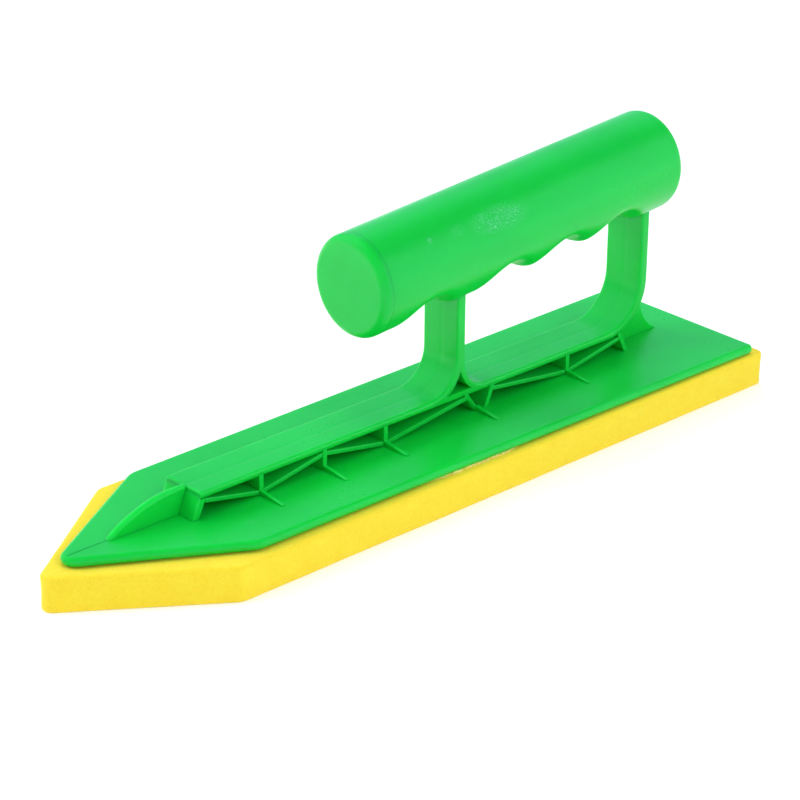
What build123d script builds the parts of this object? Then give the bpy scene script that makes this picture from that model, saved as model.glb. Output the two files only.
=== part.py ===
from build123d import *
import os
from math import atan2, cos, degrees, radians, sin

# Grout float: a pointed foam pad glued under a one-piece plastic moulding.  The moulding is a
# flat plate with a trussed spine, two posts and a hollow grip that one end cap closes.
# Millimetres, +Z up.  The nose points along -X and the tool is symmetric about the plane y = 0.
# The origin is under the middle of the pad.  Stations are distances back from a datum just
# ahead of the pad's rounded tip.

# ---- foam pad and adhesive ----
PAD_POINT = 0.8            # station of the sharp corner that the tip is rounded from
PAD_SHOULDER = 50.5        # station where the nose meets the straight sides
PAD_END = 285.0
PAD_WIDTH = 70.0
PAD_THICK = 12.0
PAD_TIP_ROUND = 3.5
PAD_CORNER_ROUND = 2.5
PAD_SHOULDER_ROUND = 6.0
GLUE_THICK = 0.4
GLUE_INSET = 1.8           # the adhesive stops this far inside the plate's edge

# ---- base plate ----
PLATE_POINT = 6.9          # station of the sharp corner that the nose is rounded from
PLATE_SHOULDER = 60.3
PLATE_END = 280.4
PLATE_SHOULDER_HALF = 31.5
PLATE_REAR_HALF = 34.2
PLATE_NOSE_ROUND = 4.5
PLATE_CORNER_ROUND = 2.0
PLATE_SHOULDER_ROUND = 8.0
PLATE_TOP_ROUND = 1.6
PLATE_FOOT_ROUND = 1.4

PLATE_BASE = PAD_THICK + GLUE_THICK
PLATE_TOP = 15.55

# ---- spine: a top strip on a centre web, braced like a truss on both sides ----
STRIP_HALF = 8.2
STRIP_TOP = 24.2
STRIP_THICK = 2.4
STRIP_UNDER = STRIP_TOP - STRIP_THICK
EDGE_ROUND = 1.0           # rounding along the side edges of the strip and the posts
WEB_THICK = 2.2
RIB_THICK = 1.7
BRACE_THICK = 1.5
FRONT_WALL_TOP = 56.6
FRONT_WALL_FOOT = 53.4
FRONT_WALL_THICK = 2.4

# Rib stations at the plate and at the strip: four upright ones, and three that lean.
RIB_STATIONS = [(80.6, 80.6), (106.5, 106.5), (132.3, 132.3), (172.4, 168.1),
                (176.7, 179.4), (214.9, 214.9), (244.0, 240.7)]

# Low gussets run out over the plate from the feet of some of the ribs.
GUSSETED_RIBS = [0, 1, 2, 3, 5]
GUSSET_REACH = 18.2        # how far they run out from the middle plane
GUSSET_THICK = 1.2
GUSSET_RISE = 1.6
GUSSET_TIP = 0.35          # height left where they end

# Each brace runs between the foot of one rib and the head of the next; station, level.
LOW = PLATE_TOP + BRACE_THICK / 2
HIGH = STRIP_UNDER - BRACE_THICK / 2
BRACES = [((58.3, HIGH), (80.6, LOW)), ((80.6, LOW), (106.5, HIGH)),
          ((106.5, HIGH), (132.3, LOW)), ((132.3, LOW), (168.1, HIGH)),
          ((179.0, HIGH), (214.9, LOW)), ((214.9, LOW), (240.7, HIGH))]

# ---- nose fin ----
FIN_TIP = 27.0
FIN_THICK = 2.6
FIN_CREST = [(35.1, 20.4), (44.5, 23.5), (56.0, 24.2)]
FIN_TIP_SLOPE = 0.95       # rise over run where the crest leaves the plate

# ---- posts ----
FRONT_POST_FACE = 163.6
FRONT_POST_BACK = 167.1
FRONT_SWEEP = 12.0         # radius of the front post's forward curve into the strip
BACK_SWEEP = 10.0          # radius of its rearward curve
FOOT_SHEET = 2.2           # thickness of the two curved sheets at the front post's foot
FOOT_HEIGHT = 8.8          # height of the triangular gap between the two sheets
FOOT_START = 158.2         # the gap's front and rear corners, and its peak
FOOT_END = 171.4
FOOT_PEAK = 165.3
REAR_POST_FACE = 249.5
REAR_POST_BACK = 253.0
REAR_SWEEP = 15.5          # radius of the rear post's forward curve into the strip
REAR_OUTER_SWEEP = 18.0
REAR_GUSSET_FOOT = 266.3
REAR_GUSSET_RADIUS = 15.0  # its hollow curve up from the plate
REAR_GUSSET_BEND = (258.0, 26.3)   # where that curve runs out into a straight edge
REAR_GUSSET_HEAD = 53.0    # level where the gusset dies out on the post's back

# ---- grip ----
GRIP_RADIUS = 16.8
GRIP_FRONT = 123.8
GRIP_REAR = 259.2
GRIP_FRONT_LEVEL = 69.3    # levels of the axis at the two ends
GRIP_REAR_LEVEL = 79.35
GRIP_END_ROUND = 2.8
CAP_THICK = 3.4
CAP_SPIGOT = 9.0           # how far the spigot reaches into the bore
CAP_OVERLAP = 1.0          # how far the spigot's root is sunk into the cap
CAP_CLEARANCE = 0.15
SPIGOT_WALL = 2.0
BORE_RADIUS = 13.3
BORE_FLAT = 5.5            # the bore is cut flat this far below the axis, over the finger scoops
REAR_WALL = 3.4
FINGER_STATIONS = [147.8, 182.3, 207.7, 233.1]
FINGER_RADIUS = 15.4
FINGER_DEPTH = 6.7
FINGER_WRAP = 33.6         # radius that each scoop follows round the grip

BEYOND = 400.0             # longer than any side of the tool, for the blocks that cut it

NOSE_ANGLE = atan2(PAD_WIDTH / 2, PAD_SHOULDER - PAD_POINT)
PAD_TIP = PAD_POINT + PAD_TIP_ROUND * (1 / sin(NOSE_ANGLE) - 1)
MIDDLE = (PAD_TIP + PAD_END) / 2


def at(station):
    """X of a station."""
    return station - MIDDLE


def points(pairs):
    """Station and level pairs as X, Z points."""
    return [(at(station), level) for station, level in pairs]


def side_face(pairs):
    """Closed side-view face through station and level pairs."""
    return make_face(Polyline(points(pairs), close=True))


def across(outline, half):
    """The side-view outline, extruded to both sides of the middle plane."""
    return extrude(Plane.XZ * outline, amount=half, both=True)


def each_side(outline, inner, outer):
    """The side-view outline as two solids, one on each side of the centre web."""
    near = Pos(0, -inner, 0) * extrude(Plane.XZ * outline, amount=outer - inner)
    return near + mirror(near, about=Plane.XZ)


def above(level):
    """Everything above a level."""
    return Pos(0, 0, level) * Box(BEYOND, BEYOND, BEYOND, align=(Align.CENTER, Align.CENTER, Align.MIN))


def between(first, last):
    """Everything between two stations."""
    low = (Align.MIN, Align.CENTER, Align.CENTER)
    return Pos(at(first), 0, 0) * Box(last - first, BEYOND, BEYOND, align=low)


def rounded_plan(point, shoulder, shoulder_half, end, end_half, rounds):
    """Plan of a pointed plate, its tip, two shoulders and two rear corners rounded."""
    plan = make_face(Polyline([(at(point), 0), (at(shoulder), -shoulder_half), (at(end), -end_half),
                               (at(end), end_half), (at(shoulder), shoulder_half)], close=True))
    tip_round, shoulder_round, rear_round = rounds
    corners = plan.vertices().sort_by(Axis.X)
    plan = fillet(corners[0:1], tip_round)
    corners = plan.vertices().sort_by(Axis.X)
    shoulders = corners.filter_by(lambda corner: abs(corner.Y) > shoulder_half / 2)
    plan = fillet(shoulders[0:2], shoulder_round)
    rear = plan.vertices().sort_by(Axis.X)[-2:]
    return fillet(rear, rear_round)


def plate_plan():
    rounds = (PLATE_NOSE_ROUND, PLATE_SHOULDER_ROUND, PLATE_CORNER_ROUND)
    return rounded_plan(PLATE_POINT, PLATE_SHOULDER, PLATE_SHOULDER_HALF, PLATE_END,
                        PLATE_REAR_HALF, rounds)


def foam_pad():
    rounds = (PAD_TIP_ROUND, PAD_SHOULDER_ROUND, PAD_CORNER_ROUND)
    plan = rounded_plan(PAD_POINT, PAD_SHOULDER, PAD_WIDTH / 2, PAD_END, PAD_WIDTH / 2, rounds)
    return extrude(plan, amount=PAD_THICK)


def glue_layer():
    plan = offset(plate_plan(), amount=-GLUE_INSET)
    return Pos(0, 0, PAD_THICK) * extrude(plan, amount=GLUE_THICK)


def base_plate():
    """Flat plate whose rim is rounded above and below."""
    plate = Pos(0, 0, PLATE_BASE) * extrude(plate_plan(), amount=PLATE_TOP - PLATE_BASE)
    plate = fillet(plate.faces().sort_by(Axis.Z)[-1].edges(), PLATE_TOP_ROUND)
    return fillet(plate.faces().sort_by(Axis.Z)[0].edges(), PLATE_FOOT_ROUND)


def curved_sheet(station, level, radius, first_angle):
    """Side view of a quarter-turn sheet about a centre, its thickness outside the radius."""
    outer = radius + FOOT_SHEET
    quarter = Rot(0, 0, first_angle) * Rectangle(outer, outer, align=(Align.MIN, Align.MIN))
    return Pos(at(station), level) * ((Circle(outer) - Circle(radius)) & quarter)


def rear_post_outline():
    """Side view of the rear post: a shaft whose foot sweeps forward into the strip."""
    start = REAR_POST_FACE - REAR_SWEEP
    ell = side_face([(start, STRIP_TOP), (REAR_POST_FACE, STRIP_TOP),
                     (REAR_POST_FACE, GRIP_REAR_LEVEL), (REAR_POST_BACK, GRIP_REAR_LEVEL),
                     (REAR_POST_BACK, STRIP_UNDER), (start, STRIP_UNDER)])
    inner_corner = ell.vertices().sort_by_distance((at(REAR_POST_FACE), STRIP_TOP))[0]
    ell = fillet(inner_corner, REAR_SWEEP)
    outer_corner = ell.vertices().sort_by_distance((at(REAR_POST_BACK), STRIP_UNDER))[0]
    return fillet(outer_corner, REAR_OUTER_SWEEP)


def frame_outline():
    """Side view of the strip, the feet that curve up from it and the two post shafts."""
    strip_end = REAR_POST_FACE - REAR_SWEEP
    strip = side_face([(FRONT_WALL_TOP, STRIP_UNDER), (strip_end, STRIP_UNDER),
                       (strip_end, STRIP_TOP), (FRONT_WALL_TOP, STRIP_TOP)])
    shaft_foot = STRIP_TOP + BACK_SWEEP
    shaft = side_face([(FRONT_POST_FACE, shaft_foot), (FRONT_POST_BACK, shaft_foot),
                       (FRONT_POST_BACK, GRIP_FRONT_LEVEL), (FRONT_POST_FACE, GRIP_FRONT_LEVEL)])
    ahead = curved_sheet(FRONT_POST_FACE - FRONT_SWEEP, STRIP_TOP + FRONT_SWEEP, FRONT_SWEEP, -90)
    behind = curved_sheet(FRONT_POST_BACK + BACK_SWEEP, STRIP_TOP + BACK_SWEEP, BACK_SWEEP, 180)
    return strip + shaft + ahead + behind + rear_post_outline()


def handle_frame():
    """Strip and posts as one bar, its outer side edges rounded, for the nodes to be cut from."""
    frame = across(frame_outline(), STRIP_HALF)

    def outer_side_edge(edge):
        middle = edge.position_at(0.5)
        on_side = abs(abs(middle.Y) - STRIP_HALF) < 0.01 and edge.length > EDGE_ROUND
        in_gap = at(FOOT_START) < middle.X < at(FOOT_END) and middle.Z < STRIP_TOP + FOOT_HEIGHT
        on_top = middle.Z > STRIP_UNDER + 0.1
        behind_wall = middle.X > at(FRONT_WALL_TOP) + EDGE_ROUND
        return on_side and on_top and behind_wall and not in_gap

    return fillet(frame.edges().filter_by(outer_side_edge), EDGE_ROUND)


def spine_strip(frame):
    """Flat strip on top of the spine, from the front wall to the rear post's foot."""
    return frame - above(STRIP_TOP)


def post(frame, grip, first, last):
    """The post that stands between two stations, from the strip's top up to the grip."""
    return (frame & above(STRIP_TOP) & between(first, last)) - grip


def spine_web():
    """Upright web on the middle plane, under the strip and back to the rear gusset."""
    back = REAR_POST_FACE - REAR_SWEEP
    outline = side_face([(FRONT_WALL_FOOT + FRONT_WALL_THICK, PLATE_TOP),
                         (FRONT_WALL_TOP + FRONT_WALL_THICK, STRIP_UNDER),
                         (back, STRIP_UNDER), (back, PLATE_TOP)])
    return across(outline, WEB_THICK / 2)


def front_post_web(frame):
    """Web that closes the triangle between the front post's two curved sheets."""
    outline = side_face([(FOOT_START, STRIP_TOP), (FOOT_PEAK, STRIP_TOP + FOOT_HEIGHT),
                         (FOOT_END, STRIP_TOP)])
    return across(outline, WEB_THICK / 2) - frame


def rear_gusset(frame):
    """Web behind the rear post: a hollow curve up from the plate, then straight to the post's back."""
    start, centre = at(REAR_POST_FACE - REAR_SWEEP), STRIP_TOP + REAR_SWEEP
    middle = REAR_SWEEP + STRIP_THICK / 2
    foot, head = (at(REAR_GUSSET_FOOT), PLATE_TOP), (at(REAR_POST_BACK), REAR_GUSSET_HEAD)
    bend = (at(REAR_GUSSET_BEND[0]), REAR_GUSSET_BEND[1])
    hollow = RadiusArc(foot, bend, REAR_GUSSET_RADIUS)
    down = Polyline([bend, head, (start + middle, REAR_GUSSET_HEAD), (start + middle, centre)])
    sweep = CenterArc((start, centre), middle, 0, -90)
    back = Polyline([(start, centre - middle), (start, PLATE_TOP), foot])
    return across(make_face(hollow + down + sweep + back), WEB_THICK / 2) - frame


def spine_front_wall():
    """Sloping end wall under the strip's front edge, its foot further forward than its head."""
    outline = side_face([(FRONT_WALL_FOOT, PLATE_TOP), (FRONT_WALL_TOP, STRIP_TOP),
                         (FRONT_WALL_TOP, STRIP_UNDER),
                         (FRONT_WALL_TOP + FRONT_WALL_THICK, STRIP_UNDER),
                         (FRONT_WALL_FOOT + FRONT_WALL_THICK, PLATE_TOP)])
    return across(outline, STRIP_HALF)


def nose_fin():
    """Thin fin on the middle plane, with a bowed crest from the plate up to the strip."""
    tip = (at(FIN_TIP), PLATE_TOP)
    crest = Spline([tip] + points(FIN_CREST), tangents=[(1.0, FIN_TIP_SLOPE), (1.0, 0.0)])
    back = Polyline([crest @ 1, (at(FRONT_WALL_TOP), STRIP_TOP), (at(FRONT_WALL_FOOT), PLATE_TOP), tip])
    return across(make_face(crest + back), FIN_THICK / 2)


def cross_rib(number, frame):
    """Rib pair between plate and strip; most carry gussets that run out over the plate."""
    foot, head = RIB_STATIONS[number]
    half = RIB_THICK / 2
    level = STRIP_TOP - EDGE_ROUND
    top = foot + (head - foot) * (level - PLATE_TOP) / (STRIP_UNDER - PLATE_TOP)
    outline = side_face([(foot - half, PLATE_TOP), (top - half, level),
                         (top + half, level), (foot + half, PLATE_TOP)])
    ribs = each_side(outline, WEB_THICK / 2, STRIP_HALF) - frame
    if number in GUSSETED_RIBS:
        ribs += gusset_pair(foot)
    return ribs


def gusset_pair(station):
    """Tapered gussets, one on each side, from the spine's edge out over the plate."""
    wedge = make_face(Polyline([(STRIP_HALF, PLATE_TOP), (GUSSET_REACH, PLATE_TOP),
                                (GUSSET_REACH, PLATE_TOP + GUSSET_TIP),
                                (STRIP_HALF, PLATE_TOP + GUSSET_RISE)], close=True))
    far = extrude(Plane.YZ * wedge, amount=GUSSET_THICK / 2, both=True)
    far = Pos(at(station), 0, 0) * far
    return far + mirror(far, about=Plane.XZ)


def brace(number, neighbours):
    """Slanted shelf pair between the foot of one rib and the head of the next."""
    start, end = (Vector(at(station), level) for station, level in BRACES[number])
    run = end - start
    angle = run.get_signed_angle(Vector(1, 0), Vector(0, 0, -1))
    bar = Pos(*((start + end) / 2)) * Rot(0, 0, angle) * Rectangle(run.length, BRACE_THICK)
    bay_height = STRIP_UNDER - PLATE_TOP
    bay = Pos(0, PLATE_TOP + bay_height / 2) * Rectangle(BEYOND, bay_height)
    shelves = each_side(bar & bay, WEB_THICK / 2, STRIP_HALF)
    for neighbour in neighbours:
        shelves -= neighbour
    return shelves


def grip_tilt():
    """Angle in radians by which the grip climbs towards the rear."""
    return atan2(GRIP_REAR_LEVEL - GRIP_FRONT_LEVEL, GRIP_REAR - GRIP_FRONT)


def grip_plane():
    """Plane across the grip's front end: its normal runs back along the grip, local Y is up."""
    tilt = grip_tilt()
    return Plane(origin=(at(GRIP_FRONT), 0, GRIP_FRONT_LEVEL), x_dir=(0, 1, 0),
                 z_dir=(cos(tilt), 0, sin(tilt)))


def finger_scoop(station):
    """Ring that cuts one finger's scoop and follows part of the way round the grip."""
    ring = Torus(FINGER_WRAP + FINGER_RADIUS, FINGER_RADIUS)
    along = (station - GRIP_FRONT) / cos(grip_tilt())
    return grip_plane() * Pos(0, FINGER_WRAP + FINGER_DEPTH - GRIP_RADIUS, along) * ring


def grip_envelope():
    """Outside of the grip with its cap on: a tilted bar, round at both ends, with finger scoops."""
    bar = grip_plane() * Cylinder(GRIP_RADIUS, BEYOND)
    bar &= between(GRIP_FRONT, GRIP_REAR)
    rims = bar.edges().filter_by(GeomType.LINE, reverse=True)
    bar = fillet(rims, GRIP_END_ROUND)
    for station in FINGER_STATIONS:
        bar -= finger_scoop(station)
    return bar


def bore_section(shrink):
    """Round bore with a flat floor over the finger scoops, smaller all round by shrink."""
    radius = BORE_RADIUS - shrink
    keep = Pos(0, -BORE_FLAT + shrink) * Rectangle(2 * radius, 2 * radius, align=(Align.CENTER, Align.MIN))
    return Circle(radius) & keep


def grip_barrel(envelope):
    """Hollow barrel, closed at the rear and open at the front."""
    bore = extrude(grip_plane() * bore_section(0), amount=BEYOND, both=True)
    bore &= between(GRIP_FRONT, GRIP_REAR - REAR_WALL)
    return (envelope & between(GRIP_FRONT + CAP_THICK, GRIP_REAR)) - bore


def grip_end_cap(envelope):
    """Round-edged cap on the front of the grip, with a hollow spigot that presses into the bore."""
    seam = GRIP_FRONT + CAP_THICK
    cap = envelope & between(GRIP_FRONT, seam)
    ring = bore_section(CAP_CLEARANCE) - bore_section(CAP_CLEARANCE + SPIGOT_WALL)
    spigot = extrude(grip_plane() * ring, amount=BEYOND, both=True)
    return cap + (spigot & between(seam - CAP_OVERLAP, seam + CAP_SPIGOT))


def build_parts():
    """Every node of the tool, by name."""
    frame = handle_frame()
    grip = grip_envelope()
    ribs = [cross_rib(number, frame) for number in range(len(RIB_STATIONS))]
    front_wall = spine_front_wall()
    nodes = {
        "foam_pad": foam_pad(),
        "glue_layer": glue_layer(),
        "base_plate": base_plate(),
        "spine_strip": spine_strip(frame),
        "spine_web": spine_web(),
        "spine_front_wall": front_wall,
        "nose_fin": nose_fin(),
        "front_post": post(frame, grip, FRONT_POST_FACE - FRONT_SWEEP, FRONT_POST_BACK + BACK_SWEEP),
        "front_post_web": front_post_web(frame),
        "rear_post": post(frame, grip, REAR_POST_FACE - REAR_SWEEP, REAR_POST_BACK),
        "rear_gusset": rear_gusset(frame),
        "grip_barrel": grip_barrel(grip),
        "grip_end_cap": grip_end_cap(grip),
    }
    for number, rib in enumerate(ribs):
        nodes[f"cross_rib_{number + 1}"] = rib
    for number in range(len(BRACES)):
        nodes[f"brace_{number + 1}"] = brace(number, ribs + [front_wall])
    return nodes


os.makedirs("parts", exist_ok=True)
for name, shape in build_parts().items():
    export_step(shape, f"parts/{name}.step")
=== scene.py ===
import math
import random

import bmesh
import bpy
import numpy as np
from mathutils import Matrix, Vector, noise


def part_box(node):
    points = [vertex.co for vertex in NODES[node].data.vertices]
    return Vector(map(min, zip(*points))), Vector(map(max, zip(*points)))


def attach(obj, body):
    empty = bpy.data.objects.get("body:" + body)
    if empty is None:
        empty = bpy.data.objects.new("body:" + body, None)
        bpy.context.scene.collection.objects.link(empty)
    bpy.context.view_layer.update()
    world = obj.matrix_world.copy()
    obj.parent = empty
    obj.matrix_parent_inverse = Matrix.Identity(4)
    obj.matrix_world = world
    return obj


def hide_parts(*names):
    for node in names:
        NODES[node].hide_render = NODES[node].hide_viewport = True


# The looks of the grout float: a soft foam pad, dried glue along its seam and a glossy green
# moulding.  Metres, in the row's frame: the nose points along -X, +Z is up, y = 0 is the middle.
# Stations are the same distances in millimetres, back from a datum ahead of the tip, as in CAD.

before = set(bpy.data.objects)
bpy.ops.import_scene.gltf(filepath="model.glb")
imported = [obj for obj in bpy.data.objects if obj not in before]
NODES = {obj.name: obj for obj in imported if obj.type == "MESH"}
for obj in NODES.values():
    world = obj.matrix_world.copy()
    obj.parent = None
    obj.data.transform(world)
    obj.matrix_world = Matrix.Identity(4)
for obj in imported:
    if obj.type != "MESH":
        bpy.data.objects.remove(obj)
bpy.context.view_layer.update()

MM = 0.001
PAD_END = 285.0
PAD_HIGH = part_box("foam_pad")[1]
DATUM = PAD_HIGH[0] - PAD_END * MM
PAD_TOP = PAD_HIGH[2]
PLATE_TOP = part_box("base_plate")[1][2]
PLATE_LEVEL = PLATE_TOP / MM


def at(station):
    """X in metres of a station in millimetres."""
    return DATUM + station * MM


# ------------------------------------------------------------------ mesh helpers

def new_piece(name, vertices, faces, material):
    """A piece of the tool made from points and faces."""
    mesh = bpy.data.meshes.new(name)
    mesh.from_pydata([tuple(v) for v in vertices], [], faces)
    mesh.validate()
    return finish_piece(name, mesh, material)


def finish_piece(name, mesh, material, sharp_angle=38.0):
    """An object for a mesh, smooth up to an angle in degrees, that rides on the tool's only body."""
    mesh.materials.clear()
    mesh.materials.append(material)
    mesh.shade_smooth()
    mesh.set_sharp_from_angle(angle=math.radians(sharp_angle))
    obj = bpy.data.objects.new(name, mesh)
    bpy.context.scene.collection.objects.link(obj)
    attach(obj, "root")
    return obj


def ring_faces(rings, around, closed=False):
    """Quads that join rings of the same number of points, with a face over each end if closed."""
    faces = []
    for ring in range(rings - 1):
        for i in range(around):
            j = (i + 1) % around
            a, b = ring * around, (ring + 1) * around
            faces.append((a + i, a + j, b + j, b + i))
    if closed:
        faces.append(tuple(range(around))[::-1])
        faces.append(tuple((rings - 1) * around + i for i in range(around)))
    return faces


def smooth_maximum(a, b, width):
    """The larger of two arrays, blended over a width where they cross."""
    near = np.clip(width - np.abs(a - b), 0.0, None) / width
    return np.maximum(a, b) + near * near * width * 0.25


def weight_normals(piece):
    """Keeps flat faces looking flat beside their small rounded edges."""
    weighted = piece.modifiers.new("normals", "WEIGHTED_NORMAL")
    weighted.keep_sharp = True


# ------------------------------------------------------------------ node helpers

BLOB_CORE = 0.45           # share of a blob's reach that is its even core


class Nodes:
    """Short hand for building one material's node tree."""

    def __init__(self, name):
        self.material = bpy.data.materials.new(name)
        self.material.use_nodes = True
        self.tree = self.material.node_tree
        self.shader = self.tree.nodes["Principled BSDF"]
        self.where = self.add("ShaderNodeTexCoord").outputs["Object"]

    def add(self, kind, **settings):
        node = self.tree.nodes.new(kind)
        for key, value in settings.items():
            setattr(node, key, value)
        return node

    def plug(self, value, socket):
        if isinstance(value, (int, float, tuple)):
            socket.default_value = value
        else:
            self.tree.links.new(value, socket)

    def math(self, operation, a, b=0.0, clamp=False):
        node = self.add("ShaderNodeMath", operation=operation, use_clamp=clamp)
        for value, socket in zip((a, b), node.inputs):
            self.plug(value, socket)
        return node.outputs[0]

    def vector(self, operation, a, b=(0.0, 0.0, 0.0)):
        node = self.add("ShaderNodeVectorMath", operation=operation)
        self.plug(a, node.inputs[0])
        self.plug(b, node.inputs[1])
        return node.outputs["Value" if operation == "LENGTH" else "Vector"]

    def noise(self, scale, detail=2.0, rough=0.5, stretch=None):
        """Noise of a cell size in metres, drawn out along an axis if stretch is given."""
        node = self.add("ShaderNodeTexNoise")
        source = self.where
        if stretch:
            source = self.vector("MULTIPLY", source, stretch)
        self.plug(source, node.inputs["Vector"])
        node.inputs["Scale"].default_value = 1.0 / scale
        node.inputs["Detail"].default_value = detail
        node.inputs["Roughness"].default_value = rough
        return node.outputs["Fac"]

    def cells(self, scale):
        """Distance from the middle of the nearest cell, for cells of a size in metres."""
        node = self.add("ShaderNodeTexVoronoi", feature="F1")
        self.plug(self.where, node.inputs["Vector"])
        node.inputs["Scale"].default_value = 1.0 / scale
        return node.outputs["Distance"]

    def span(self, value, low, high, out_low=0.0, out_high=1.0, smooth=False):
        """Maps low..high to out_low..out_high, clamped."""
        node = self.add("ShaderNodeMapRange")
        if smooth:
            node.interpolation_type = "SMOOTHSTEP"
        for item, socket in zip((value, low, high, out_low, out_high), node.inputs):
            self.plug(item, socket)
        return node.outputs[0]

    def mix(self, amount, a, b):
        node = self.add("ShaderNodeMix", data_type="RGBA")
        self.plug(amount, node.inputs[0])
        self.plug(a, node.inputs[6])
        self.plug(b, node.inputs[7])
        return node.outputs[2]

    def blob(self, centre, reach):
        """1 in the core of an ellipsoid round a point, falling smoothly to 0 at its reach."""
        offset = self.vector("SUBTRACT", self.where, centre)
        scaled = self.vector("DIVIDE", offset, reach)
        return self.span(self.vector("LENGTH", scaled), 1.0, BLOB_CORE, smooth=True)

    def bump(self, height, distance, strength, normal=None):
        node = self.add("ShaderNodeBump")
        self.plug(height, node.inputs["Height"])
        node.inputs["Distance"].default_value = distance
        node.inputs["Strength"].default_value = strength
        if normal:
            self.plug(normal, node.inputs["Normal"])
        return node.outputs["Normal"]

    def set(self, **values):
        """Sets the shader's own sockets, named with underscores for spaces."""
        for key, value in values.items():
            self.plug(value, self.shader.inputs[key.replace("_", " ")])


# ------------------------------------------------------------------ materials

GREEN = (0.0030, 0.590, 0.046, 1.0)
GREEN_DEEP = (0.0018, 0.535, 0.042, 1.0)
GREEN_PALE = (0.0100, 0.620, 0.070, 1.0)
SCUFF = (0.16, 0.66, 0.34, 1.0)
GLOW_REACH = (0.12, 1.0, 0.22)       # how far red, green and blue light travel inside the plastic
FOAM_YELLOW, FOAM_WARM = (0.980, 0.705, 0.034, 1.0), (0.995, 0.755, 0.046, 1.0)
FOAM_SHADE, FOAM_PIT_PAINTED_SHADE = (0.86, 0.60, 0.022, 1.0), (0.82, 0.54, 0.016, 1.0)
GLUE_YELLOW, GLUE_PALE = (0.90, 0.64, 0.050, 1.0), (1.0, 0.86, 0.30, 1.0)
GLUE_WHITE = (0.96, 0.92, 0.74, 1.0)
FLOOR_GREY, FLOOR_PALE = (0.93, 0.93, 0.935, 1.0), (0.955, 0.955, 0.96, 1.0)
WHITE = (1.0, 1.0, 1.0, 1.0)
# Rubbed places on the moulding: centre station, y and z in millimetres, reach, and strength.
SCUFFS = [((175.5, -13.8, 83.6), (14.5, 6.0, 5.5), 1.0), ((146.6, -12.2, 82.6), (1.2, 1.4, 1.4), 2.2),
          ((158.0, -12.4, 83.2), (3.5, 3.0, 2.4), 0.5), ((66.3, -19.6, 15.5), (2.2, 1.8, 1.0), 0.9),
          ((57.8, -31.4, 15.0), (1.5, 1.0, 1.5), 1.2), ((205.0, 13.5, 84.0), (16.0, 5.0, 5.0), 0.8),
          ((262.0, 18.0, 15.5), (8.0, 6.0, 1.0), 0.7)]


def green_plastic(name, marks=(), sink=False, painted_light_scale=1.0, glow=0.85):
    """Glossy moulded polypropylene: flow streaks, fine orange peel, specks and rubbed places."""
    n = Nodes(name)
    # Painted light and shade: all three greens are scaled by painted_light_scale, lighter above 1 and
    # darker below 1.
    green, deep, pale = (tuple(painted_light_scale * part for part in colour[:3]) + (1.0,)
                         for colour in (GREEN, GREEN_DEEP, GREEN_PALE))
    streaks = n.noise(0.010, detail=3.0, stretch=(0.16, 1.0, 1.0))
    clouds = n.noise(0.034, detail=2.0)
    tone = n.mix(n.span(clouds, 0.35, 0.70), green, deep)
    tone = n.mix(n.span(streaks, 0.50, 0.80, 0.0, 0.35), tone, pale)
    grain = n.noise(0.0009, detail=2.0)
    rough = n.span(grain, 0.3, 0.7, 0.27, 0.33)
    rough = n.math("ADD", rough, n.span(clouds, 0.4, 0.7, 0.0, 0.06))
    rubbed = 0.0
    for centre, reach, strength in marks:
        middle = (at(centre[0]), centre[1] * MM, centre[2] * MM)
        size = tuple(side * MM for side in reach)
        rubbed = n.math("MAXIMUM", rubbed, n.math("MULTIPLY", n.blob(middle, size), strength))
    if marks:
        dots = n.span(n.noise(0.00050, detail=2.0, rough=0.6), 0.575, 0.675)
        haze = n.math("MULTIPLY", rubbed, n.span(n.noise(0.0030), 0.35, 0.75, 0.03, 0.20))
        worn = n.math("ADD", n.math("MULTIPLY", rubbed, n.math("MULTIPLY", dots, 0.9)), haze, clamp=True)
        tone = n.mix(worn, tone, SCUFF)
        rough = n.math("ADD", rough, n.math("MULTIPLY", worn, 0.20))
    peel = n.noise(0.0024, detail=1.0)
    height = n.math("ADD", n.math("MULTIPLY", peel, 0.6), n.math("MULTIPLY", grain, 0.18))
    height = n.math("ADD", height, n.math("MULTIPLY", streaks, 0.8))
    normal = n.bump(height, 0.00006, 0.55)
    if sink:
        # The plastic shrinks over the centre web and leaves a shallow groove along the top.
        side = n.add("ShaderNodeSeparateXYZ")
        n.plug(n.where, side.inputs[0])
        off = n.math("ABSOLUTE", n.math("ADD", side.outputs["Y"], 0.0004))
        groove = n.span(off, 0.0, 0.0016, smooth=True)
        normal = n.bump(groove, 0.00009, 0.8, normal)
    n.set(Base_Color=tone, Roughness=rough, Normal=normal, IOR=1.49, Specular_IOR_Level=0.5,
          Specular_Tint=(0.55, 0.95, 1.0, 1.0), Subsurface_Weight=glow, Subsurface_Scale=0.0032)
    n.shader.inputs["Subsurface Radius"].default_value = GLOW_REACH
    return n.material


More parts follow.
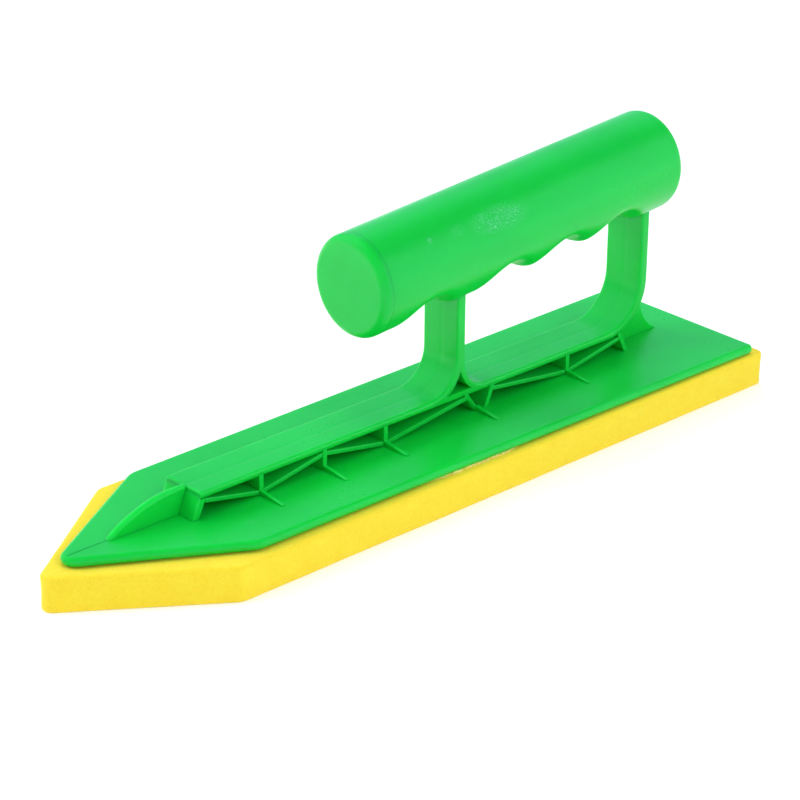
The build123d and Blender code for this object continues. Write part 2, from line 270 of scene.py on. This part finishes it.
def foam_rubber():
    """Fine-pored yellow foam: small open pits and a soft mottle, with painted shade in the pits and in the
    low places of the fine grain.
    """
    n = Nodes("foam_rubber")
    mottle = n.noise(0.006, detail=4.0, rough=0.6)
    fine = n.noise(0.0011, detail=3.0, rough=0.7)
    pores = n.cells(0.0009)
    pits = n.span(pores, 0.10, 0.42, smooth=True)
    tone = n.mix(n.span(mottle, 0.3, 0.7), FOAM_YELLOW, FOAM_WARM)
    # Painted shade: the low places of the fine grain and the hollows of the pits are darker.
    tone = n.mix(n.span(fine, 0.30, 0.60, 0.25, 0.0), tone, FOAM_SHADE)
    tone = n.mix(n.span(pits, 0.0, 1.0, 0.25, 0.0), tone, FOAM_PIT_PAINTED_SHADE)
    height = n.math("ADD", n.math("MULTIPLY", pits, 0.6), n.math("MULTIPLY", fine, 0.7))
    height = n.math("ADD", height, n.math("MULTIPLY", mottle, 0.5))
    n.set(Base_Color=tone, Roughness=n.span(fine, 0.3, 0.7, 0.80, 0.95),
          Normal=n.bump(height, 0.00020, 0.35), Specular_IOR_Level=0.15, Subsurface_Weight=0.10,
          Subsurface_Scale=0.0015, Sheen_Weight=0.12, Sheen_Roughness=0.5)
    return n.material


def dried_glue():
    """Pale contact adhesive with torn foam in it."""
    n = Nodes("dried_glue")
    lumps = n.noise(0.0016, detail=4.0, rough=0.65)
    stain = n.noise(0.005, detail=2.0)
    tone = n.mix(n.span(lumps, 0.36, 0.56), GLUE_YELLOW, GLUE_PALE)
    tone = n.mix(n.span(stain, 0.57, 0.63), tone, GLUE_WHITE)
    n.set(Base_Color=tone, Roughness=n.span(lumps, 0.3, 0.7, 0.45, 0.85),
          Normal=n.bump(lumps, 0.0004, 0.9), Specular_IOR_Level=0.4)
    return n.material


def floor_paint():
    """Plain pale studio floor with the faintest tooth, which glows as painted light, faintly beside the
    tool and brighter away from it.
    """
    n = Nodes("studio_floor")
    tooth = n.noise(0.004, detail=2.0)
    tone = n.mix(n.span(tooth, 0.3, 0.7), FLOOR_GREY, FLOOR_PALE)
    away = n.vector("LENGTH", n.where)
    # Painted light: the floor's glow grows with distance from the tool.
    n.set(Base_Color=tone, Roughness=0.85, Normal=n.bump(tooth, 0.0001, 0.2), Emission_Color=WHITE,
          Emission_Strength=n.span(away, 0.35, 1.2, 0.19, 0.80, smooth=True))
    return n.material


# One plastic throughout.  Thin walls and the shaded truss differ in inner glow, and in tone by painted
# light and shade: the truss and braces are painted darker, the thin walls and ribs lighter.
PLASTIC = green_plastic("green_plastic")
PLASTIC_TOP = green_plastic("green_plastic_spine", sink=True)
PLASTIC_TRUSS_PAINTED_SHADE = green_plastic("green_plastic_truss_painted_shade", painted_light_scale=0.52)
# Painted light: the rib and thin-wall plastics are painted lighter than the plain plastic.
PLASTIC_RIB_PAINTED_LIGHT = green_plastic("green_plastic_rib_painted_light", glow=0.15, painted_light_scale=1.08)
PLASTIC_WALL_PAINTED_LIGHT = green_plastic("green_plastic_wall_painted_light", glow=0.60, painted_light_scale=1.14)
PLASTIC_BRACE_PAINTED_SHADE = green_plastic("green_plastic_brace_painted_shade", painted_light_scale=0.92, glow=0.30)
PLASTIC_PLATE = green_plastic("green_plastic_plate", marks=[m for m in SCUFFS if m[0][2] < PLATE_LEVEL + 1])
PLASTIC_GRIP = green_plastic("green_plastic_grip", marks=[m for m in SCUFFS if m[0][2] > PLATE_LEVEL + 1])
FOAM = foam_rubber()
GLUE = dried_glue()


# ------------------------------------------------------------------ foam pad

ARC_SPACING = 0.35 * MM
FEWEST_STEPS, MOST_STEPS = 4, 14     # straight steps round one corner of an outline


def rounded_outline(corners, rounds, spacing):
    """Points round a polygon whose corners are arcs, with the outward normal at each point."""
    places, normals = [], []
    count = len(corners)
    arcs = []
    for i in range(count):
        before, here, after = (Vector(corners[(i + k) % count]) for k in (-1, 0, 1))
        to_before, to_after = (before - here).normalized(), (after - here).normalized()
        half = to_before.angle(to_after) / 2
        centre = here + (to_before + to_after).normalized() * rounds[i] / math.sin(half)
        reach = rounds[i] / math.tan(half)
        first, last = here + to_before * reach - centre, here + to_after * reach - centre
        arcs.append((centre, first, last, rounds[i]))
    for i in range(count):
        centre, first, last, radius = arcs[i]
        turn = first.angle(last)
        steps = min(max(FEWEST_STEPS, int(turn * radius / ARC_SPACING)), MOST_STEPS)
        for k in range(steps + 1):
            direction = (first.normalized() * math.sin(turn * (1 - k / steps))
                         + last.normalized() * math.sin(turn * k / steps)) / math.sin(turn)
            places.append(centre + direction * radius)
            normals.append(direction)
        start = centre + last
        next_centre, next_first = arcs[(i + 1) % count][:2]
        end = next_centre + next_first
        parts = max(1, int((end - start).length / spacing))
        for k in range(1, parts):
            places.append(start.lerp(end, k / parts))
            normals.append(last.normalized())
    return places, normals


PAD_POINT, PAD_SHOULDER, PAD_HALF = 0.8, 50.5, 35.0
PAD_ROUNDS = [3.5, 6.0, 2.5, 2.5, 6.0]
PAD_EDGE = 1.15            # radius of the pad's softened edges
PAD_HOLLOW = 0.10          # how far its cut sides sink in between their edges
PAD_INSET = 0.12           # sets the sides in a little, to leave room for their waver
WAVER, WAVER_RATE, WAVER_RISE = 0.16, 0.045, 0.10   # depth, and noise per millimetre along and up
FUZZ, FUZZ_RATE = 0.07, 0.55
FLAT_INSETS = (30.0, 12.0, 5.0, 2.4)   # rings over the flat top and foot, from the middle outwards
FLAT_FRONT = 8.0           # station in the nose that the inner rings keep behind


def pad_outline(spacing):
    corners = [(at(PAD_POINT), 0), (at(PAD_SHOULDER), -PAD_HALF * MM), (at(PAD_END), -PAD_HALF * MM),
               (at(PAD_END), PAD_HALF * MM), (at(PAD_SHOULDER), PAD_HALF * MM)]
    return rounded_outline(corners, [r * MM for r in PAD_ROUNDS], spacing)


def foam_pad():
    """The pad as cut foam: softened edges, slightly hollow sides and a hand-cut waver."""
    places, normals = pad_outline(1.5 * MM)
    thick = PAD_TOP / MM
    profile = []
    for k in range(5):
        angle = math.radians(90 - k * 22.5)
        profile.append((PAD_EDGE * (1 - math.cos(angle)), PAD_EDGE * (1 - math.sin(angle))))
    sides = [(PAD_HOLLOW * math.sin(math.pi * k / 6), PAD_EDGE + (thick - 2 * PAD_EDGE) * k / 6)
             for k in range(1, 6)]
    crown = [(inset, thick - height) for inset, height in profile[::-1]]
    foot = [(inset, height * 0.55) for inset, height in profile]
    rings = [(inset, 0.0) for inset in FLAT_INSETS] + foot + sides + crown
    rings += [(inset, thick) for inset in FLAT_INSETS[::-1]]
    vertices = []
    for inset, height in rings:
        for place, normal in zip(places, normals):
            x, y = place.x / MM, place.y / MM
            waver = WAVER * noise.noise(Vector((x * WAVER_RATE, y * WAVER_RATE, height * WAVER_RISE)))
            fuzz = FUZZ * noise.noise(Vector((x * FUZZ_RATE, y * FUZZ_RATE, height * FUZZ_RATE + 9.0)))
            if inset > 1.5:
                waver = fuzz = 0.0
            shift = (inset + PAD_INSET - waver - fuzz) * MM
            if inset > 3.0:
                y = math.copysign(max(0.0, abs(place.y) - inset * MM), place.y)
                x = min(max(place.x, at(FLAT_FRONT) + inset * MM * 1.2), at(PAD_END) - inset * MM)
                vertices.append((x, y, height * MM))
            else:
                vertices.append((place.x - normal.x * shift, place.y - normal.y * shift, height * MM))
    faces = ring_faces(len(rings), len(places), closed=True)
    pad = new_piece("foam_pad_cut", vertices, faces, FOAM)
    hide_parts("foam_pad")


# ------------------------------------------------------------------ glue line

PLATE_CORNERS = [(6.9, 0.0), (60.3, -31.5), (280.4, -34.2), (280.4, 34.2), (60.3, 31.5)]
PLATE_ROUNDS = [4.5, 8.0, 2.0, 2.0, 8.0]
GLUE_SPACING = 0.45 * MM
# Where the adhesive has squeezed past the plate's rim: station, side, half length, how far.
SQUEEZED = [(149.0, -1, 19.0, 1.9), (162.0, -1, 4.0, 0.4), (96.0, 1, 16.0, 1.7), (214.0, 1, 24.0, 1.9)]


def plate_outline(spacing):
    corners = [(at(s), y * MM) for s, y in PLATE_CORNERS]
    return rounded_outline(corners, [r * MM for r in PLATE_ROUNDS], spacing)


def side_key(y):
    """Sets the two long sides' raggedness apart."""
    return 3.0 if y > 0 else 7.0


def squeeze(x, y):
    """How far in millimetres the glue stands out beyond its usual edge at a place."""
    station = (x - DATUM) / MM
    total = 0.0
    for middle, side, half, amount in SQUEEZED:
        if y * side > 0:
            total += amount * math.exp(-((station - middle) / half) ** 4)
    ragged = noise.noise(Vector((station * 0.9, side_key(y), 0.0)))
    ragged += 0.6 * noise.noise(Vector((station * 2.3, side_key(y), 5.0)))
    teeth = noise.noise(Vector((station * 6.0, side_key(y), 11.0)))
    return total * (0.85 + 0.30 * ragged + 0.20 * teeth) + 0.10 * ragged


def glue_line():
    """The adhesive film, its rim uneven where it was squeezed out under the plate."""
    places, normals = plate_outline(GLUE_SPACING)
    base, top = PAD_TOP / MM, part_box("glue_layer")[1][2] / MM
    vertices = []
    # Each ring: how far in from the plate's rim, how far above the pad, and its share of the squeeze.
    rings = [(6.0, -0.05, 0.0), (1.9, -0.10, 1.0), (1.95, 0.22, 0.9), (2.1, 0.55, 0.45), (6.0, 0.45, 0.0)]
    for inset, rise, follow in rings:
        for place, normal in zip(places, normals):
            out = squeeze(place.x, place.y)
            tooth = noise.noise(Vector((place.x / MM * 3.1, place.y / MM * 3.1, 2.0)))
            climb = 0.5 * max(0.0, out) * (0.35 + tooth) * (rise > 0)
            shift = (inset - out * follow) * MM
            level = (base + min(rise, top - base + 0.2) + climb * follow) * MM
            vertices.append((place.x - normal.x * shift, place.y - normal.y * shift, level))
    around = len(places)
    faces = ring_faces(len(rings), around)
    last = (len(rings) - 1) * around
    faces += [(last + i, last + (i + 1) % around, (i + 1) % around, i) for i in range(around)]
    line = new_piece("glue_line", vertices, faces, GLUE)
    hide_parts("glue_layer")


def glue_crumbs():
    """Specks of dried glue and torn foam lying on the pad beside the squeezed-out places."""
    random.seed(41)
    places, normals = plate_outline(GLUE_SPACING)
    bm = bmesh.new()
    for place, normal in zip(places, normals):
        out = squeeze(place.x, place.y)
        if out < 0.8 or random.random() > 0.12 * out:
            continue
        size = random.uniform(0.12, 0.34) * MM
        made = bmesh.ops.create_icosphere(bm, subdivisions=1, radius=size)
        shift = (1.5 - out * random.uniform(0.6, 1.0)) * MM
        spot = Vector((place.x - normal.x * shift, place.y - normal.y * shift, PAD_TOP + size * 0.30))
        for vertex in made["verts"]:
            vertex.co *= random.uniform(0.75, 1.25)
            vertex.co.z *= 0.7
            vertex.co += spot
    mesh = bpy.data.meshes.new("glue_crumbs")
    bm.to_mesh(mesh)
    bm.free()
    crumbs = finish_piece("glue_crumbs", mesh, GLUE, sharp_angle=80.0)


# ------------------------------------------------------------------ moulding

SINK_DEPTH = 0.6           # how far a wall's foot is carried on into the plate
STRIP_HALF = 8.2
STRIP_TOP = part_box("spine_strip")[1][2] / MM
WEB_HALF = 1.1
FRONT_WALL_TOP, FRONT_WALL_FOOT = 56.6, 53.4
FIN_TIP, FIN_TIP_SLOPE = 27.0, 0.95
FIN_TUCK = 0.9             # how far the fin's back is carried on into the front wall
GUSSET_BACK = 252.5        # the rear gusset's edges behind this station are its free back
NOSE_ROUND = 1.0           # rounding of the strip's front edge
NEAR = 0.05                # millimetres within which a point counts as lying on a face
WELD = 0.002 * MM          # distance within which a CAD mesh's split vertices are joined


def outer_edge(first, last):
    """Edges of ribs, gussets and braces that face outwards."""
    outside = min(abs(first.y), abs(last.y)) > STRIP_HALF - NEAR
    return outside and max(first.z, last.z) > PLATE_LEVEL + NEAR


def crest_edge(first, last):
    """Edges of the fin along its bowed crest."""
    sideways = abs(first.y - last.y) > 0.1
    at_wall = max(first.x, last.x) > FRONT_WALL_TOP - 0.3 and first.z != last.z
    return not sideways and not at_wall and max(first.z, last.z) > PLATE_LEVEL + NEAR


def wall_edge(first, last):
    """The front wall's upright edges."""
    upright = abs(first.z - last.z) > 3.0
    return upright and min(abs(first.y), abs(last.y)) > STRIP_HALF - NEAR


def back_edge(first, last):
    """The rear gusset's edges along its hollow back."""
    behind = min(first.x, last.x) > GUSSET_BACK and max(first.z, last.z) > PLATE_LEVEL + NEAR
    return behind and abs(first.y - last.y) < 0.1


def tuck_wall(place):
    """Lowers the front wall's head to meet the strip's rounded nose."""
    if place.z > STRIP_TOP - NEAR:
        place.z -= NOSE_ROUND


def tuck_fin(place):
    """Carries the fin's back on into the front wall, and its tip forward along its slope."""
    if place.x < FIN_TIP + NEAR:
        place.x -= SINK_DEPTH / FIN_TIP_SLOPE
    lean = (FRONT_WALL_TOP - FRONT_WALL_FOOT) / (STRIP_TOP - PLATE_LEVEL)
    if place.x > FRONT_WALL_FOOT + (place.z - PLATE_LEVEL) * lean - 0.1:
        place.x += FIN_TUCK


def edged(node, material, bevel, free, tuck=None):
    """A copy of a CAD wall with the small edge radii that a mould leaves."""
    bm = bmesh.new()
    bm.from_mesh(NODES[node].data)
    bmesh.ops.remove_doubles(bm, verts=bm.verts, dist=WELD)
    bmesh.ops.dissolve_limit(bm, angle_limit=math.radians(1.0), verts=bm.verts, edges=bm.edges)
    in_stations = {}
    for vertex in bm.verts:
        place = Vector(((vertex.co.x - DATUM) / MM, vertex.co.y / MM, vertex.co.z / MM))
        in_stations[vertex] = place
    chosen = []
    for edge in bm.edges:
        first, last = (in_stations[vertex] for vertex in edge.verts)
        if edge.is_manifold and edge.calc_face_angle() > math.radians(30) and free(first, last):
            chosen.append(edge)
    for vertex, place in in_stations.items():
        if tuck:
            tuck(place)
        if abs(place.z - PLATE_LEVEL) < 0.01 and abs(place.y) < STRIP_HALF + NEAR:
            place.z -= SINK_DEPTH
        if abs(abs(place.y) - WEB_HALF) < 0.01 and node.startswith(("cross_rib_", "brace_")):
            place.y = math.copysign(WEB_HALF / 2, place.y)
        vertex.co = (at(place.x), place.y * MM, place.z * MM)
    bmesh.ops.bevel(bm, geom=chosen, offset=bevel * MM, offset_type="OFFSET", segments=4,
                    profile=0.5, affect="EDGES", clamp_overlap=True)
    mesh = bpy.data.meshes.new(node + "_edged")
    bm.to_mesh(mesh)
    bm.free()
    piece = finish_piece(node + "_edged", mesh, material)
    weight_normals(piece)
    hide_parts(node)


def welded(node):
    """A copy of a CAD node's mesh with its split vertices joined, as an object."""
    bm = bmesh.new()
    bm.from_mesh(NODES[node].data)
    bmesh.ops.remove_doubles(bm, verts=bm.verts, dist=WELD)
    mesh = bpy.data.meshes.new(node + "_welded")
    bm.to_mesh(mesh)
    bm.free()
    obj = bpy.data.objects.new(node + "_welded", mesh)
    bpy.context.scene.collection.objects.link(obj)
    return obj


def handle_frame():
    """Strip and posts run into each other without a seam, and the strip's front edge is rounded."""
    names = ["spine_strip", "front_post", "rear_post"]
    base, *others = [welded(name) for name in names]
    for other in others:
        union = base.modifiers.new("union", "BOOLEAN")
        union.operation, union.solver, union.object = "UNION", "EXACT", other
    bpy.context.view_layer.update()
    joined = base.evaluated_get(bpy.context.evaluated_depsgraph_get())
    bm = bmesh.new()
    bm.from_mesh(joined.to_mesh())
    for obj in [base] + others:
        bpy.data.objects.remove(obj)
    bmesh.ops.remove_doubles(bm, verts=bm.verts, dist=WELD)
    bmesh.ops.dissolve_limit(bm, angle_limit=math.radians(0.3), verts=bm.verts, edges=bm.edges)
    front = at(FRONT_WALL_TOP)
    for step in (0.08, 0.25, 0.5, 1.0):
        everything = bm.verts[:] + bm.edges[:] + bm.faces[:]
        bmesh.ops.bisect_plane(bm, geom=everything, plane_co=(front + step * NOSE_ROUND * MM, 0, 0),
                               plane_no=(1, 0, 0), dist=1e-7)
    for vertex in bm.verts:
        inwards = NOSE_ROUND - min((vertex.co.x - front) / MM, NOSE_ROUND)
        share = (vertex.co.z / MM - (STRIP_TOP - NOSE_ROUND)) / NOSE_ROUND
        if inwards > 0 and share > 0:
            vertex.co.z -= share * (NOSE_ROUND - math.sqrt(NOSE_ROUND ** 2 - inwards ** 2)) * MM
    mesh = bpy.data.meshes.new("handle_frame_moulded")
    bm.to_mesh(mesh)
    bm.free()
    piece = finish_piece("handle_frame_moulded", mesh, PLASTIC_TOP)
    weight_normals(piece)
    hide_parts(*names)


NOSE_LINE_HALF, NOSE_LINE_RISE = 0.45 * MM, 0.16 * MM
NOSE_LINE_SINK = 0.2 * MM
NOSE_LINE_STATIONS = [12.6, 13.6, 20.0, 27.6]


def nose_line():
    """The low ridge that the mould's split leaves along the nose, from the fin to the tip."""
    half, foot = NOSE_LINE_HALF, -NOSE_LINE_SINK
    vertices = []
    for station in NOSE_LINE_STATIONS:
        at_end = station in (NOSE_LINE_STATIONS[0], NOSE_LINE_STATIONS[-1])
        height = NOSE_LINE_RISE * 0.3 if at_end else NOSE_LINE_RISE
        for y, z in ((-half, foot), (-half * 0.3, height), (half * 0.3, height), (half, foot)):
            vertices.append((at(station), y, PLATE_TOP + z))
    faces = ring_faces(len(NOSE_LINE_STATIONS), 4, closed=True)
    ridge = new_piece("nose_parting_line", vertices, faces, PLASTIC)


GRIP_RADIUS = 16.8
GRIP_FRONT, GRIP_REAR = 123.8, 259.2
GRIP_FRONT_LEVEL, GRIP_REAR_LEVEL = 69.3, 79.35
GRIP_SLOPE = (GRIP_REAR_LEVEL - GRIP_FRONT_LEVEL) / (GRIP_REAR - GRIP_FRONT)
GRIP_LEAN = math.cos(math.atan(GRIP_SLOPE))
GRIP_END_ROUND = 2.8
CAP_THICK = 3.4
SEAM_BEVEL = 0.10
BORE_RADIUS = 13.25
BORE_FLAT = 5.45
REAR_WALL = 3.4
FINGER_STATIONS = [147.8, 182.3, 207.7, 233.1]
FINGER_RADIUS, FINGER_DEPTH, FINGER_WRAP = 15.4, 6.7, 33.6
RIDGE_BLEND = 1.6          # width over which the ridges between scoops are softened
GRIP_AROUND = 160          # points round the barrel
RING_STEP = 0.8            # from one ring of points to the next along the barrel
HALVINGS = 26              # steps of the search for the barrel's surface


def scooped_radius(station, angle, outer):
    """Radius of the barrel towards an angle from straight up, with its finger scoops."""
    low, high = np.full(angle.shape, 4.0), np.full(angle.shape, float(outer))
    for _ in range(HALVINGS):
        middle = (low + high) / 2
        side, up = middle * np.sin(angle), middle * np.cos(angle)
        hub = FINGER_WRAP + FINGER_DEPTH - GRIP_RADIUS
        ring = np.hypot(side, up - hub) - (FINGER_WRAP + FINGER_RADIUS)
        field = middle - outer
        for finger in FINGER_STATIONS:
            along = (station - finger) / GRIP_LEAN
            inside = FINGER_RADIUS - np.hypot(ring, along)
            field = smooth_maximum(field, inside, RIDGE_BLEND)
        low = np.where(field < 0, middle, low)
        high = np.where(field < 0, high, middle)
    return (low + high) / 2


def grip_point(station, angle, radius):
    """Point at a radius round the grip's axis, on the upright plane through a station."""
    level = GRIP_FRONT_LEVEL + (station - GRIP_FRONT) * GRIP_SLOPE
    height = level + radius * math.cos(angle) / GRIP_LEAN
    return (at(station), radius * math.sin(angle) * MM, height * MM)


def grip_barrel():
    """The hollow barrel, with soft ridges between the finger scoops."""
    angles = np.arange(GRIP_AROUND) * 2 * math.pi / GRIP_AROUND
    seam = GRIP_FRONT + CAP_THICK
    bore = np.minimum(BORE_RADIUS, BORE_FLAT / np.maximum(-np.cos(angles), 0.01))
    rings = [(GRIP_REAR - REAR_WALL, bore), (seam, bore)]
    for k in range(4):
        turn = math.radians(30 * k)
        outer = GRIP_RADIUS - SEAM_BEVEL * (1 - math.sin(turn))
        rings.append((seam + SEAM_BEVEL * (1 - math.cos(turn)), scooped_radius(seam, angles, outer)))
    station = seam + SEAM_BEVEL + 0.6
    while station < GRIP_REAR - GRIP_END_ROUND - 0.4:
        rings.append((station, scooped_radius(station, angles, GRIP_RADIUS)))
        station += RING_STEP
    for k in range(9):
        turn = math.radians(90 * k / 8)
        outer = GRIP_RADIUS - GRIP_END_ROUND * (1 - math.cos(turn))
        place = GRIP_REAR - GRIP_END_ROUND * (1 - math.sin(turn))
        rings.append((place, scooped_radius(place, angles, outer)))
    for part in (0.8, 0.5, 0.2):
        rings.append((GRIP_REAR, np.full(GRIP_AROUND, (GRIP_RADIUS - GRIP_END_ROUND) * part)))
    vertices = []
    for station, radii in rings:
        for angle, radius in zip(angles, radii):
            vertices.append(grip_point(station, angle, radius))
    faces = ring_faces(len(rings), GRIP_AROUND, closed=True)
    barrel = new_piece("grip_barrel_moulded", vertices, faces, PLASTIC_GRIP)
    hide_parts("grip_barrel")


foam_pad()
glue_line()
glue_crumbs()
grip_barrel()
nose_line()
handle_frame()
edged("spine_front_wall", PLASTIC_WALL_PAINTED_LIGHT, 0.8, wall_edge, tuck_wall)
edged("nose_fin", PLASTIC_WALL_PAINTED_LIGHT, 1.15, crest_edge, tuck_fin)
edged("rear_gusset", PLASTIC_WALL_PAINTED_LIGHT, 0.7, back_edge)
for name in sorted(NODES):
    if name.startswith(("cross_rib_", "brace_")):
        edged(name, PLASTIC_RIB_PAINTED_LIGHT if name.startswith("cross") else PLASTIC_BRACE_PAINTED_SHADE, 0.3, outer_edge)
# CAD nodes whose shape is right, so that only their material changes.
KEPT = {"base_plate": PLASTIC_PLATE, "spine_web": PLASTIC_TRUSS_PAINTED_SHADE, "front_post_web": PLASTIC_TRUSS_PAINTED_SHADE,
        "grip_end_cap": PLASTIC_GRIP}
for name, material in KEPT.items():
    NODES[name].data.materials.clear()
    NODES[name].data.materials.append(material)


# ------------------------------------------------------------------ floor, light and camera

FLOOR_HALF = 6.0


def studio_floor():
    corners = [(x * FLOOR_HALF, y * FLOOR_HALF, 0.0) for x, y in ((-1, -1), (1, -1), (1, 1), (-1, 1))]
    mesh = bpy.data.meshes.new("studio_floor")
    mesh.from_pydata(corners, [], [(0, 1, 2, 3)])
    mesh.materials.append(floor_paint())
    floor = bpy.data.objects.new("studio_floor", mesh)
    bpy.context.scene.collection.objects.link(floor)


# Soft boxes that never show in the gloss: name, direction from the tool, power in watts.
LIGHTS = [("left", (-0.70, 0.60, 0.55), 11.8), ("near", (-0.05, -1.0, 0.65), 8.1),
          ("right", (0.62, -0.62, 0.85), 2.2), ("top", (0.0, 0.0, 1.0), 6.0),
          ("back", (0.52, 0.70, 0.70), 4.0)]
LIGHT_SIDE = 0.9
# Pale cards that only show in the gloss: name, direction, power and colour.
CARDS = [("card_left", (-0.40, 0.66, 0.60), 8.0, (0.70, 0.95, 1.0)),
         ("card_right", (0.62, -0.73, 0.28), 10.0, (0.75, 0.95, 1.0)),
         ("card_front", (-0.62, -0.66, 0.42), 5.0, (0.80, 0.95, 1.0)),
         ("card_back", (0.62, 0.66, 0.42), 5.0, (0.36, 0.65, 1.0))]
CARD_SIDE = 1.6
LIGHT_DISTANCE = 1.4
LIGHT_AIM = 0.05           # height of the point that every light faces


def softbox(name, direction, power, side, colour, card):
    """A square light facing the tool.  A card shows only in its gloss, and the others never there."""
    light = bpy.data.lights.new(name, "AREA")
    light.shape = "RECTANGLE"
    light.size = light.size_y = side
    light.energy = power
    light.color = colour
    obj = bpy.data.objects.new(name, light)
    bpy.context.scene.collection.objects.link(obj)
    towards = Vector(direction).normalized()
    obj.location = towards * LIGHT_DISTANCE + Vector((0.0, 0.0, LIGHT_AIM))
    obj.rotation_euler = (-towards).to_track_quat("-Z", "Y").to_euler()
    obj.visible_camera = False
    obj.visible_glossy = card
    obj.visible_diffuse = not card


SKY_LIGHT = (0.198, 0.275, 0.320, 1.0)
SKY_SEEN = WHITE


def studio_sky():
    """A dim, faintly blue room for the light, and plain white behind the tool."""
    world = bpy.data.worlds.new("studio_sky")
    bpy.context.scene.world = world
    world.use_nodes = True
    tree = world.node_tree
    seen = tree.nodes.new("ShaderNodeLightPath").outputs["Is Camera Ray"]
    mix = tree.nodes.new("ShaderNodeMix")
    mix.data_type = "RGBA"
    tree.links.new(seen, mix.inputs[0])
    mix.inputs[6].default_value = SKY_LIGHT
    mix.inputs[7].default_value = SKY_SEEN
    tree.links.new(mix.outputs[2], tree.nodes["Background"].inputs["Color"])


VIEW_ANGLES = (-43.3183, 24.8432, 0.5739)        # azimuth, elevation and roll in degrees
VIEW_OFFSETS = (934.542, 2.775, 23.155)          # millimetres back, to the right and up
VIEW_STATION = 142.5                             # station that the offsets start from
SENSOR_WIDTH, FOCAL_LENGTH = 36.0, 130.24


def camera():
    """Long lens, looking down on the nose end from the front left."""
    azimuth, elevation, roll = (math.radians(angle) for angle in VIEW_ANGLES)
    right = Vector((math.cos(azimuth), math.sin(azimuth), 0))
    up = Vector((-math.sin(azimuth) * math.sin(elevation), math.cos(azimuth) * math.sin(elevation),
                 math.cos(elevation)))
    back = right.cross(up)
    distance, aside, height = VIEW_OFFSETS
    turned_right = right * math.cos(roll) + up * math.sin(roll)
    turned_up = up * math.cos(roll) - right * math.sin(roll)
    place = (back * distance + turned_right * aside + turned_up * height) * MM
    place.x += at(VIEW_STATION)
    lens = bpy.data.cameras.new("camera")
    lens.sensor_width = SENSOR_WIDTH
    lens.lens = FOCAL_LENGTH
    lens.clip_start = 0.05
    obj = bpy.data.objects.new("camera", lens)
    bpy.context.scene.collection.objects.link(obj)
    rotation = Matrix((turned_right, turned_up, back)).transposed()
    obj.matrix_world = Matrix.Translation(place) @ rotation.to_4x4()
    bpy.context.scene.camera = obj


studio_floor()
studio_sky()
for name, direction, power in LIGHTS:
    softbox(name, direction, power, LIGHT_SIDE, (1.0, 1.0, 1.0), card=False)
for name, direction, power, colour in CARDS:
    softbox(name, direction, power, CARD_SIDE, colour, card=True)
camera()
bpy.context.scene.view_settings.view_transform = "Standard"
